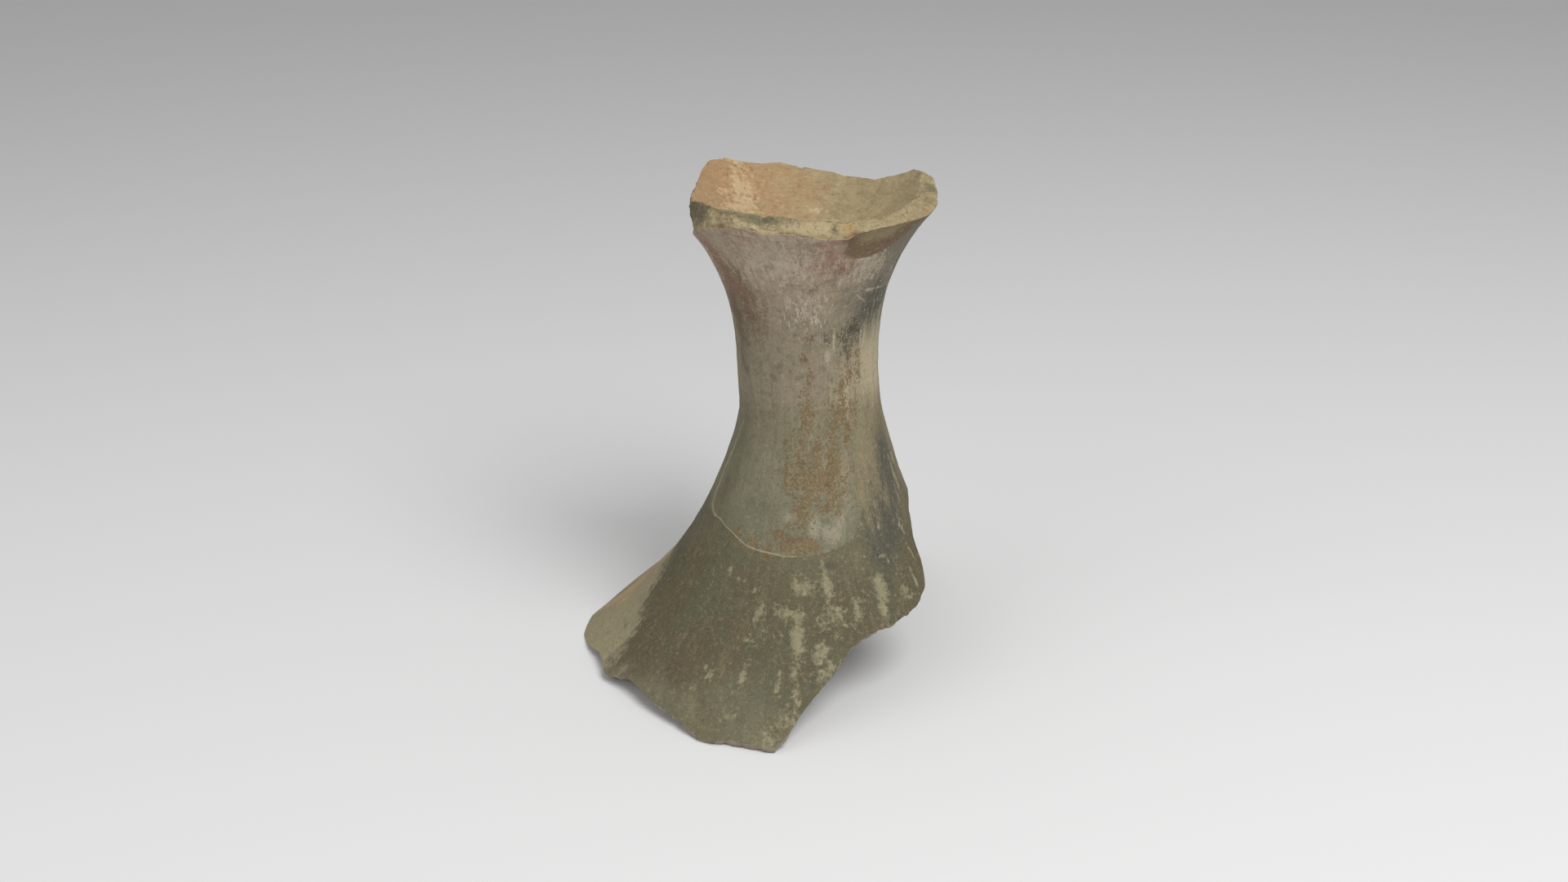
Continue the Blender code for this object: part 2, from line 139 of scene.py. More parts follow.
# Patches on the outside: azimuth in degrees, height in mm, half width and half height in mm,
# strength, and the tilt in degrees of those that lean
patches = {
    "rust": [
        (26.5, 110, 1.6, 5, 0.9), (25, 101.5, 3.2, 5, 1.1), (29, 95, 1.6, 5, 0.9),
        (-2, 102, 2, 6.5, 0.9), (-9, 88, 2.4, 6.5, 0.8), (3.5, 87, 2, 8.5, 0.8),
        (15, 86, 2.6, 8.5, 1.1), (3, 78, 8.5, 4, 1.1), (13, 74, 3.4, 3.6, 0.9),
        (-4.5, 70, 2.6, 6, 1), (10, 69.5, 5, 3, 0.6), (-18.5, 86.5, 1.8, 6, 0.3),
        (-5, 57.8, 3.4, 1.7, 1.6), (-14, 56.2, 3.4, 1.2, 1.2, -6), (-17, 60.5, 4, 3, 0.4),
        (-12, 63.5, 2, 2, 0.4), (-43, 57.2, 1.4, 1.7, 1.2, 20), (-32.5, 56, 1.7, 2, 1.2, 10),
        (-24, 55.2, 1.3, 1.5, 1.2), (1.5, 130, 1.5, 1.6, 0.6), (-3.5, 123, 1.5, 1.4, 0.6),
        (1, 116, 0.9, 5.4, 0.6), (35, 116, 4.4, 7, 0.35)],
    "pale": [
        (2, 63, 2, 3.8, 1.3), (11.5, 61, 2.8, 2.8, 1.2), (16, 64, 2, 3, 0.7),
        (-13, 66, 3, 1.8, 0.8), (3, 75, 3, 1.8, 0.7), (8, 84, 1.2, 8, 0.8),
        (-3.5, 90, 1.6, 3, 0.6), (22, 79, 1.8, 12, 0.9), (19, 66, 1.6, 4, 0.7),
        (1, 94, 2.4, 2.2, 0.7), (20, 128, 0.45, 6.4, 0.6), (44.5, 127.5, 0.5, 3.4, 0.8),
        (24, 110, 0.8, 9, 0.6), (16, 122, 3, 8, 0.3), (42, 157, 8, 6, 0.6),
        (36, 153, 5, 5, 0.4, 20), (-20, 164, 14, 5, 0.5), (48, 146, 6.4, 0.4, 1.1, -6),
        (38.5, 143.6, 2.6, 0.4, 1, -34), (66, 150, 2, 6, 0.3)],
    "cloud": [
        (56, 136, 6.6, 9.4, 1.5), (62, 79, 4.6, 10, 1.6), (53, 70, 6, 8, 1.7),
        (46, 61, 7, 7, 1.6), (39, 52, 6, 6, 1.1), (36, 43, 3.6, 6, 0.6),
        (0, 18, 3.6, 4, 0.5, -20), (5, 22, 2, 2.4, 0.4), (-9, 13, 2, 2, 0.4),
        (10, 51, 8, 2.6, 0.5), (70, 152, 4, 7, 0.5)],
    "smut": [
        (32, 128.5, 5, 5.2, 0.85), (36, 132, 2.2, 2.8, 1.4), (30, 124, 4, 3, 0.7),
        (14.5, 129, 2.4, 5, 0.6), (12, 123, 1.2, 3, 0.5), (40, 122, 3, 3, 0.5)],
    "red": [
        (-54, 160, 5, 6, 0.8), (-62, 152, 6, 10, 0.5), (-50, 147, 8, 8, 0.3),
        (-24, 167, 2.4, 3.6, 0.9), (-33, 165, 3.4, 3.4, 0.8), (14, 163, 7, 4, 0.9),
        (22, 158, 5, 3, 0.8), (2, 164, 4, 2.6, 0.7), (6.5, 159, 4.2, 2.2, 1.3),
        (-26, 171.4, 9, 1.3, 1.1), (-4, 171.2, 9, 1, 1.2), (12, 168.2, 6, 1.3, 1.4),
        (-4, 159, 3, 1.6, 0.6), (10, 155, 9, 4, 0.5)],
    "russet": [
        (-58, 150, 5, 13, 1.2), (-48, 146, 6, 9, 1.2), (-62, 138, 4, 12, 1.1),
        (-46, 136, 7, 8, 0.7), (20, 157, 5, 3.6, 0.7), (-68, 158, 3, 8, 0.8),
        (-15, 162.4, 2.4, 1.5, 0.9), (6.5, 158.6, 3.4, 1.5, 0.5)],
    "ashen": [
        (62, 156, 10, 14, 2), (50, 158, 8, 6, 1.1), (44, 150, 7, 6, 0.8), (34, 141, 6, 5, 0.7),
        (70, 140, 4, 10, 0.9)],
    "cream": [
        (-3, 44.8, 4.6, 3, 0.65), (-6.5, 44, 1.2, 2, 1), (7, 46, 1.2, 4.8, 1, 8),
        (-9.5, 36.4, 3.6, 1.9, 0.85, -10), (-5.5, 30, 1.7, 6, 1.25), (-6, 21, 1.6, 4.4, 0.5),
        (-22.5, 35.2, 1.3, 3, 0.9, -8), (8, 36, 9, 6, 0.25), (-18, 31, 5, 6, 0.2),
        (-19, 31, 0.9, 1.4, 0.9), (-22.5, 17.5, 1.1, 3, 1.1, -12), (-23, 28, 3.4, 2, 0.3),
        (-33, 16.6, 1.3, 1.1, 1, -30), (-35.5, 18, 0.7, 0.6, 1.2), (-37, 12, 0.6, 1.2, 1, -20),
        (2.5, 25.5, 3.4, 2.6, 0.8, 15), (6, 22, 1.8, 2.2, 0.7, 10), (-11, 17, 0.8, 2, 0.9),
        (-5, 15, 1.4, 4, 0.6, 6), (32, 41.6, 1.5, 2.8, 1.7), (30.5, 35.6, 1.5, 4.4, 0.9),
        (19, 37, 1.4, 2.8, 0.9), (3, 20, 3, 2, 0.6), (59, 56.4, 1.2, 3, 0.9, 8),
        (44, 38.5, 2.2, 2.6, 0.6, 30), (-12, 5.6, 0.35, 2.8, 1.2, -10), (-8, 9, 5, 3, 0.5),
        (-11, 4, 5, 2.6, 0.5), (-22, 8, 7, 2, 0.3), (-26, 42, 0.8, 0.8, 0.9),
        (-41, 46, 0.7, 1, 0.9), (-35, 44, 0.8, 1, 0.7), (41.5, 60.3, 0.5, 1.4, 0.8),
        (42, 57.4, 0.8, 0.5, 0.8), (39, 51, 1.5, 0.4, 0.9), (41, 49, 0.4, 1.2, 0.9),
        (28.5, 52.4, 0.7, 0.4, 0.8), (28, 49.6, 0.5, 0.4, 0.8), (76, 78.6, 0.7, 2.8, 1.4, 8),
        (71, 73, 0.7, 4, 1.6, 8), (67, 66, 0.6, 2.6, 1.1, 8), (30, 63, 1, 1.2, 0.8),
        (52, 40, 0.6, 3, 0.8), (58, 47, 0.6, 3, 0.8, 8)],
    "amber": [
        # The first amber patch, along the right edge of the stem, is a painted highlight
        (64, 117, 7.4, 10, 1.5), (54, 106, 4, 4, 0.5), (32, 110, 5, 11, 0.55)],
    "tan": [
        (50, 97, 7, 9, 0.9), (43, 84, 6, 13, 1.1), (37, 72, 5, 9, 0.9)],
    "chalk": [
        (-12, 160, 18, 10, 0.8), (34, 157, 9, 7, 0.7), (-10, 171, 26, 2.2, 0.8),
        (0, 142, 14, 14, 0.2), (-70, 160, 6, 10, 0.7), (150, 150, 60, 22, 0.25)],
    "sage": [
        (-46, 46, 8, 12, 1), (-33, 50, 8, 5, 0.8), (-52, 32, 6, 10, 0.6), (-64, 84, 8, 16, 0.5),
        (-30, 68, 10, 8, 0.3), (-13, 18, 6, 9, 0.8), (-22, 8, 9, 4, 0.6), (0, 50, 10, 3, 0.5),
        (46, 164, 5, 4, 0.6)],
    "umber": [
        (-42, 21, 8, 6, 1), (-26, 45, 8, 5, 0.8), (-64, 30, 7, 22, 0.9), (-30, 29, 8, 8, 0.6),
        (-7, 41, 3, 4, 0.8), (-31, 22, 10, 5, 0.7), (14, 40, 8, 8, 0.6), (62, 48, 8, 12, 0.8),
        (74, 68, 5, 14, 0.8), (-66, 66, 6, 12, 0.7), (20, 31, 8, 4, 0.5), (72, 96, 4, 10, 0.6),
        (-60, 134, 5, 26, 0.5)],
    "blush": [
        (-108, 28, 5, 14, 1.2), (-103, 12, 4, 10, 1.1), (-112, 38, 6, 6, 0.9),
        (-97, 22, 2, 12, 0.4)],
    "lumps": [
        (-64, 36, 10, 26, 1.2), (-52, 22, 12, 14, 0.8), (20, 40, 20, 12, 0.6)],
}

# The same in the dish: azimuth in degrees, radius in mm
dishPatches = {
    "rust": [
        (-138, 40, 18, 10, 1.3), (-160, 28, 14, 12, 0.6), (-104, 33, 12, 12, 1),
        (-178, 34, 12, 10, 0.4), (-44, 20, 14, 8, 0.7), (-90, 18, 12, 10, 0.4)],
    "pale": [
        (-143, 36, 5, 9, 1, 20), (-132, 30, 6, 8, 0.8), (-110, 27, 7, 8, 0.8),
        (-58, 24, 7, 5, 0.7), (-150, 24, 3, 3, 0.6), (-20, 18, 6, 3, 0.4),
        (170, 26, 3, 1.4, 0.9), (152, 22, 2.4, 1.2, 0.9), (-100, 34, 8, 5, 0.5)],
    "sage": [(176, 36, 9, 7, 0.7), (140, 34, 16, 10, 0.7), (118, 38, 8, 6, 0.7)],
}

# The same on the break round the top: azimuth in degrees, place from the inner edge (0) to the
# outer one (1), half widths in mm and as a share
breakPatches = {
    "cloud": [
        (-88, 0.35, 7, 0.75, 1.3), (-70, 0.3, 3, 0.3, 1.2), (-56, 0.35, 6, 0.36, 1.3),
        (-32, 0.22, 4, 0.2, 0.7), (-17, 0.25, 6.4, 0.28, 1.2), (-4, 0.15, 2.4, 0.16, 1),
        (-20, 0.97, 2, 0.1, 1.2), (-6, 0.97, 2.6, 0.1, 1.2), (14, 0.55, 1.4, 0.3, 0.9),
        (100, 0.6, 3, 0.4, 0.8), (80, 0.45, 3, 0.3, 0.5)],
    "amber": [
        (20.5, 0.65, 1.1, 0.6, 1.1), (17, 0.3, 1.6, 0.3, 0.4), (66, 0.75, 6, 0.2, 0.4),
        (82, 0.15, 6, 0.2, 0.4)],
    "cream": [
        (-66, 0.78, 12, 0.2, 1), (-40, 0.6, 8, 0.3, 0.8), (-12, 0.7, 16, 0.26, 0.9),
        (8, 0.45, 8, 0.4, 0.9)],
    "rust": [(-36, 0.85, 5, 0.12, 0.7), (20, 0.95, 2, 0.2, 1)],
}


def outerRadius(height, azimuth):
    # Trumpet foot, plain neck and spreading bowl floor in one formula
    drop = clay["kneeHeight"] - height
    fall = (np.sqrt(drop * drop + clay["kneeSoftness"] ** 2) + drop) / 2 / clay["flareReach"]
    share = clay["flareShare"]
    foot = clay["footFlare"] * (share * fall + (1 - share) * fall ** clay["flarePower"])
    rise = np.maximum(height - clay["bowlStart"], 0.0) / clay["bowlReach"]
    oval = 1 - clay["flareOval"] * np.cos(np.radians(azimuth))
    return clay["neckRadius"] + foot * oval + clay["bowlFlare"] * rise ** clay["bowlPower"]


def axisShift(height):
    # Sideways place of the axis at a height
    bend = np.maximum(height - clay["bendStart"], 0.0) / clay["bendReach"]
    knee = np.exp(-((height - clay["kneeShiftLevel"]) / clay["kneeShiftSpread"]) ** 2)
    lean = clay["leanSlope"] * (height - clay["leanLevel"])
    return lean + clay["bendRate"] * bend * bend + clay["kneeShift"] * knee


def hollowRadius(height, azimuth):
    # Inner face of the wall, set in from the outer one by the wall measured square to it
    step = clay["slopeStep"]
    spread = outerRadius(height + step, azimuth) - outerRadius(height - step, azimuth)
    slope = spread / (2 * step)
    share = np.minimum(height / clay["wallChangeHeight"], 1.0)
    wall = clay["footWall"] + (clay["neckWall"] - clay["footWall"]) * share ** 2 * (3 - 2 * share)
    level = np.minimum(height, clay["hollowShoulder"])
    return outerRadius(level, azimuth) - wall * np.sqrt(1 + slope * slope)


def place(radius, height, azimuth):
    # Points in space from radius, height and azimuth about the drifting axis
    angle = np.radians(azimuth)
    x = axisShift(height) + radius * np.sin(angle)
    return np.stack([x, -radius * np.cos(angle), height + 0 * radius], axis=-1)


def corners(table, azimuth, column):
    # Straight runs between the corners of an edge
    return np.interp(azimuth, [c[0] for c in table], [c[column] for c in table]) * millimetre


def raggedEdge(azimuth, seed, amount):
    # Small waves round the edge, finer ones lower, that meet at the back
    random = np.random.default_rng(clay["raggedSeed"] + seed)
    fewest, most, step = clay["raggedWaves"]
    total = np.zeros_like(azimuth)
    for waves in range(fewest, most, step):
        size = (fewest / waves) ** clay["raggedFall"] * random.uniform(clay["raggedLeast"], 1.0)
        total += size * np.sin(np.radians(azimuth) * waves + random.uniform(0, 2 * math.pi))
    return amount * total


def dishRise(azimuth, radius, height):
    # Steepness of the dish at each azimuth, evened out so that the floor has no flutes
    turned = np.arange(-180.0, 180.0, 1.0)
    order = np.argsort(azimuth)
    steep = (height - clay["dishFloor"]) / radius ** clay["dishPower"]
    known = np.interp(turned, azimuth[order], steep[order], period=360.0)
    weights = np.exp(-(turned / clay["dishSmoothing"]) ** 2 / 2)
    evened = np.fft.ifft(np.fft.fft(known) * np.fft.fft(np.fft.fftshift(weights))).real
    return np.interp(azimuth, turned, evened / weights.sum(), period=360.0)


def columnAzimuths():
    # Closer columns round the front, wider ones round the back
    front = np.linspace(clay["frontFrom"], clay["frontTo"], clay["frontColumns"], endpoint=False)
    last = clay["frontFrom"] + 360.0
    back = np.linspace(clay["frontTo"], last, clay["backColumns"], endpoint=False)
    turned = np.concatenate([front, back])
    return np.where(turned > 180.0, turned - 360.0, turned)


def skinRows(azimuth, ragged):
    # Rows of points from the middle of the dish, over the break, down the outside and back
    # up the hollow. Each row has its zone and its place across that zone.
    rim = corners(bowlOuterEdge, azimuth, 1)
    innerRadius = outerRadius(rim, azimuth) - corners(bowlInnerEdge, azimuth, 1)
    innerHeight = rim + corners(bowlInnerEdge, azimuth, 2)
    innerTear = raggedEdge(azimuth, 1, ragged)
    outerTear = raggedEdge(azimuth, 2, ragged)
    edge = corners(footEdge, azimuth, 1)
    fall = corners(footEdge, azimuth, 2)
    free = np.clip(edge / clay["raggedFree"], 0, 1)
    edge = np.maximum(edge + raggedEdge(azimuth, 3, ragged) * free, fall)
    sole = edge - fall
    rows = []

    steep = dishRise(azimuth, innerRadius, innerHeight)
    for i in range(1, clay["dishRows"] + 1):
        share = i / clay["dishRows"]
        bent = clay["dishFloor"] + steep * (innerRadius * share) ** clay["dishPower"]
        exact = clay["dishFloor"] + steep * innerRadius ** clay["dishPower"]
        mend = (innerHeight - exact + innerTear) * share ** clay["raggedReach"]
        rows.append(("dish", share, place(innerRadius * share, bent + mend, azimuth)))
    innerHeight = innerHeight + innerTear
    rim = rim + outerTear
    outer = outerRadius(rim, azimuth)
    span = (azimuth - clay["leftBulgeAzimuth"]) / clay["leftBulgeSpread"]
    bulge = clay["breakBulge"] + clay["leftBulge"] * np.exp(-span * span)
    for i in range(1, clay["breakRows"]):
        share = i / clay["breakRows"]
        arch = 1 - abs(2 * share - 1)
        radius = innerRadius + (outer - innerRadius) * share + bulge * arch
        level = innerHeight + (rim - innerHeight) * share + clay["breakBulge"] * arch
        rows.append(("break", share, place(radius, level, azimuth)))
    for i in range(clay["bodyRows"] + 1):
        share = i / clay["bodyRows"]
        level = rim + (edge - rim) * share
        rows.append(("outside", share, place(outerRadius(level, azimuth), level, azimuth)))
    outer = outerRadius(edge, azimuth)
    for i in range(1, clay["fallRows"] + 1):
        share = i / clay["fallRows"]
        radius = outer - clay["soleInset"] * share
        rows.append(("sole", share, place(radius, edge - fall * share, azimuth)))
    inner = hollowRadius(sole, azimuth)
    for i in range(1, clay["soleRows"]):
        share = i / clay["soleRows"]
        radius = outer - clay["soleInset"] + (inner - outer + clay["soleInset"]) * share
        rows.append(("sole", share, place(radius, sole, azimuth)))
    for i in range(clay["hollowRows"] + 1):
        share = i / clay["hollowRows"]
        level = sole + (clay["hollowShoulder"] - sole) * share
        rows.append(("hollow", share, place(hollowRadius(level, azimuth), level, azimuth)))
    shoulder = np.full_like(azimuth, clay["hollowShoulder"])
    shoulderRadius = hollowRadius(shoulder, azimuth)
    for i in range(1, clay["capRows"] + 1):
        turn = math.radians(90 * i / (clay["capRows"] + 1))
        level = shoulder + (clay["hollowTop"] - clay["hollowShoulder"]) * math.sin(turn)
        rows.append(("hollow", 1.0, place(shoulderRadius * math.cos(turn), level, azimuth)))
    return rows


def signedDistance(across, height, outline, scale):
    # Distance in mm to a closed outline, positive inside
    points = np.array([(a * scale, h) for a, h in outline], float)
    best = np.full(across.shape, np.inf)
    inside = np.zeros(across.shape, bool)
    for (x0, y0), (x1, y1) in zip(points, np.roll(points, -1, axis=0)):
        dx, dy = x1 - x0, y1 - y0
        along = ((across * scale - x0) * dx + (height - y0) * dy) / (dx * dx + dy * dy)
        along = np.clip(along, 0, 1)
        gap = np.hypot(across * scale - x0 - along * dx, height - y0 - along * dy)
        best = np.minimum(best, gap)
        crosses = (y0 > height) != (y1 > height)
        at = x0 + (height - y0) / dy * dx if dy else x0
        inside ^= crosses & (across * scale < at)
    return np.where(inside, best, -best)


def patchField(azimuth, level, reach, patchList):
    # Highest of the patches at each point: its strength in a patch's middle, less away from it
    field = np.full(azimuth.shape, clay["patchFloor"])
    for centre, height, halfWidth, halfHeight, strength, *tilt in patchList:
        turned = (azimuth - centre + 180) % 360 - 180
        across, up = np.radians(turned) * reach, level - height
        lean = math.radians(sum(tilt))
        c, s = math.cos(lean), math.sin(lean)
        gap = np.hypot((across * c + up * s) / halfWidth, (up * c - across * s) / halfHeight)
        field = np.maximum(field, strength - gap)
    return field


def addAttribute(mesh, name, kind, domain, values):
    made = mesh.attributes.new(name, kind, domain)
    key = {"FLOAT": "value", "FLOAT_VECTOR": "vector"}[kind]
    made.data.foreach_set(key, np.ascontiguousarray(values, np.float32).ravel())


def makeSkin():
    # Closed skin of the clay with what the finish needs to know at each point
    azimuth = columnAzimuths()
    count = len(azimuth)
    plain = np.concatenate([r[2] for r in skinRows(azimuth, 0.0)])
    low, high = (np.array(c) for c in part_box("footed_bowl"))
    shift = (low + high) / 2 - (plain.min(0) + plain.max(0)) / 2
    shift[2] = low[2] - plain[:, 2].min()

    rows = skinRows(azimuth, clay["ragged"])
    poles = [place(np.zeros(1), np.full(1, clay[key]), np.zeros(1))
             for key in ("dishFloor", "hollowTop")]
    points = np.concatenate([r[2] for r in rows] + poles)
    last = len(rows) * count

    around = np.arange(count)
    ahead = (around + 1) % count
    faces = []
    for row in range(0, last - count, count):
        below = row + count
        faces += np.stack([row + around, below + around, below + ahead, row + ahead], 1).tolist()
    faces += np.stack([np.full(count, last), around, ahead], 1).tolist()
    faces += np.stack([np.full(count, last + 1), below + ahead, below + around], 1).tolist()
    mesh = bpy.data.meshes.new("footedBowlSkin")
    mesh.from_pydata(points + shift, [], faces)

    # A face has the zone of its lower row, but one that leaves a broken face still belongs to it
    zones = [r[0] for r in rows]
    pairs = list(zip(zones, zones[1:]))
    faceZones = [zoneOf[upper if upper in tornZones else lower] for upper, lower in pairs]
    faceZones += [zoneOf["dish"], zoneOf["hollow"]]
    addAttribute(mesh, "zone", "FLOAT", "FACE", np.repeat(faceZones, count))

    def perPoint(values, first, second):
        # One value a row, and one for each pole, given to every point
        return np.concatenate([np.repeat(values, count), [first, second]])

    turn = np.concatenate([np.tile(azimuth, len(rows)), [0.0, 0.0]])
    height = points[:, 2]
    isDish = perPoint([zone == "dish" for zone in zones], True, False)
    isBreak = perPoint([zone == "break" for zone in zones], False, False)
    share = perPoint([r[1] for r in rows], 0.0, 1.0)
    levels = height / millimetre
    reach = outerRadius(height, turn) / millimetre
    radius = np.hypot(points[:, 0] - axisShift(height), points[:, 1]) / millimetre

    # Distance down the outer profile, so that what follows the wall keeps its size on the flare
    scale = np.linspace(0.0, clay["profileTop"], clay["profileSteps"])
    profile = outerRadius(scale, np.full_like(scale, clay["profileAzimuth"]))
    travelled = np.concatenate([[0], np.cumsum(np.hypot(np.diff(scale), np.diff(profile)))])
    run = np.interp(height, scale, travelled)
    run = np.where(isDish, clay["dishStart"] + radius * millimetre, run)
    angle = np.radians(turn)
    flow = np.stack([np.sin(angle), -np.cos(angle), run / clay["neckRadius"]], axis=1)
    addAttribute(mesh, "flow", "FLOAT_VECTOR", "POINT", flow)

    for name, (perDegree, outline) in outlines.items():
        field = signedDistance(turn, levels, outline, perDegree)
        addAttribute(mesh, name, "FLOAT", "POINT", field)
    for name in patches:
        outside = patchField(turn, levels, reach, patches[name])
        inside = patchField(turn, radius, radius, dishPatches.get(name, []))
        torn = patchField(turn, share, radius, breakPatches.get(name, []))
        field = np.where(isDish, inside, np.where(isBreak, torn, outside))
        addAttribute(mesh, name, "FLOAT", "POINT", field)

    # Sharp edges where a broken face meets the skin
    mesh.polygons.foreach_set("use_smooth", np.ones(len(mesh.polygons), bool))
    border = [i + 1 if upper in tornZones else i
              for i, (upper, lower) in enumerate(pairs) if upper != lower]
    joined = np.zeros(len(mesh.edges) * 2, np.int32)
    mesh.edges.foreach_get("vertices", joined)
    rowOf = joined.reshape(-1, 2) // count
    isBorder = np.isin(rowOf[:, 0], border) & (rowOf[:, 0] == rowOf[:, 1])
    sharp = mesh.attributes.new("sharp_edge", "BOOLEAN", "EDGE")
    sharp.data.foreach_set("value", isBorder)
    return mesh


# Middle of the noise textures, and what widens their swing to about one
noiseMiddle = 0.5
noiseSwing = 8.0


def put(tree, kind, inputs=None, **settings):
    # One node with its settings and inputs, where an input is a value or another node's socket
    made = tree.nodes.new(kind)
    for key, value in settings.items():
        setattr(made, key, value)
    for key, value in (inputs or {}).items():
        if isinstance(value, bpy.types.NodeSocket):
            tree.links.new(value, made.inputs[key])
        else:
            made.inputs[key].default_value = value
    return made


def maths(tree, operation, a, b=0.0, clamp=False):
    made = put(tree, "ShaderNodeMath", {0: a, 1: b}, operation=operation)
    made.use_clamp = clamp
    return made.outputs[0]


def vectorMaths(tree, operation, a, b):
    return put(tree, "ShaderNodeVectorMath", {0: a, 1: b}, operation=operation).outputs[0]


def noise(tree, vector, scale, seed, detail=3.0, roughness=0.55):
    made = put(tree, "ShaderNodeTexNoise", {"Vector": vector, "W": seed, "Scale": scale,
               "Detail": detail, "Roughness": roughness}, noise_dimensions="4D")
    return made.outputs[0]


def grit(tree, vector, scale, seed, detail=3.0, roughness=0.55):
    # The same noise, moved and widened to swing about one either side of zero
    made = noise(tree, vector, scale, seed, detail, roughness)
    return maths(tree, "MULTIPLY", maths(tree, "SUBTRACT", made, noiseMiddle), noiseSwing)


def ramp(tree, value, low, high):
    # 0 at low, 1 at high, smooth between
    made = put(tree, "ShaderNodeMapRange", {"Value": value, "From Min": low, "From Max": high},
               interpolation_type="SMOOTHSTEP")
    return made.outputs[0]


# Relief of the surface, in metres, and the scales of its noises in turns to the metre
relief = {
    "Break roughness": 0.00052, "Break grain size": 0.0042, "Break crumb": 0.00016,
    "Undulation": 0.00010, "Wheel line depth": 0.00004, "Wheel line pitch": 0.0021,
    "Stroke depth": 0.00004, "Lump height": 0.00014, "Pit depth": 0.00022, "Pit size": 0.0016,
    "Slip thickness": 0.00016, "Spall depth": 0.0010, "Hollow ridge depth": 0.00035,
    "Undulation scale": 60.0, "Stroke scale": 1.6, "Lump scale": 520.0, "Wear scale": 900.0,
    "Spall edge scale": 500.0, "Spall face scale": 330.0, "Ridge scale": 4.0,
    "Crumb fineness": 3.7, "Seed": 3.0,
}

# Form of the relief: stretches of its textures round and down the wall, the two ends of its
# ramps, and the shares of what they lift or sink
reliefForm = {
    "wheelStretch": (0.5, 0.5, 1.0), "wheelShare": 0.6, "strokeStretch": (9.0, 9.0, 1.6),
    "ridgeStretch": (0.25, 0.25, 1.0), "ridgeSwing": 2.4, "lumpEdge": (-0.3, 0.8),
    "pitEdge": (0.67, 0.78), "pitShare": 0.55, "slipEdge": (-0.25, 0.35), "slipWear": 1.2,
    "flakeEdge": (0.0, 0.4), "flakeShare": 0.6, "lostWear": 1.6, "leftWear": 1.4,
    "brinkEdge": (-0.15, 0.5), "brinkShare": 0.35, "slopeEdge": (0.0, 8.0), "slopeShare": 0.65,
    "chipEdge": (0.0, 1.0), "chipRoughness": 0.9,
}


